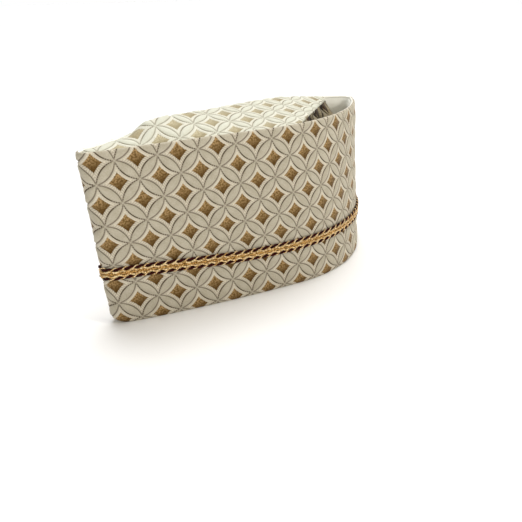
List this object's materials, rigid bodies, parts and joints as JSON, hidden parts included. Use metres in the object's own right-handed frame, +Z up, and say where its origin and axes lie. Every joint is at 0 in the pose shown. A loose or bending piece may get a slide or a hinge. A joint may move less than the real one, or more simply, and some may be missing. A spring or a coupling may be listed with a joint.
{
  "type": "topi cap",
  "caption": "Boat-shaped brocade topi cap: tall folded band, hem strip under a gold braid, plain lining, and an almond-shaped crown bag open below for the head.",
  "frame": {"origin": "middle of the footprint, on the surface that the hem stands on", "axes": "+Z up, +Y from the front crease to the back, +X to the wearer's left"},
  "size_m": [0.1118, 0.251, 0.1223],
  "materials": {
    "ivory_brocade": "ivory satin petals with gold metallic diamonds, woven and quilted",
    "ivory_lining": "plain ivory weave",
    "gold_thread": "bright metallic gold cord",
    "maroon_cord": "dark maroon silk cord"
  },
  "bodies": {
    "root": {"side_band": "ivory_brocade", "hem_band": "ivory_brocade", "crown": "ivory_brocade", "band_lining": "ivory_lining", "braid_core": "gold_thread", "braid_edge_upper": "maroon_cord", "braid_edge_lower": "maroon_cord"}
  },
  "joints": []
}
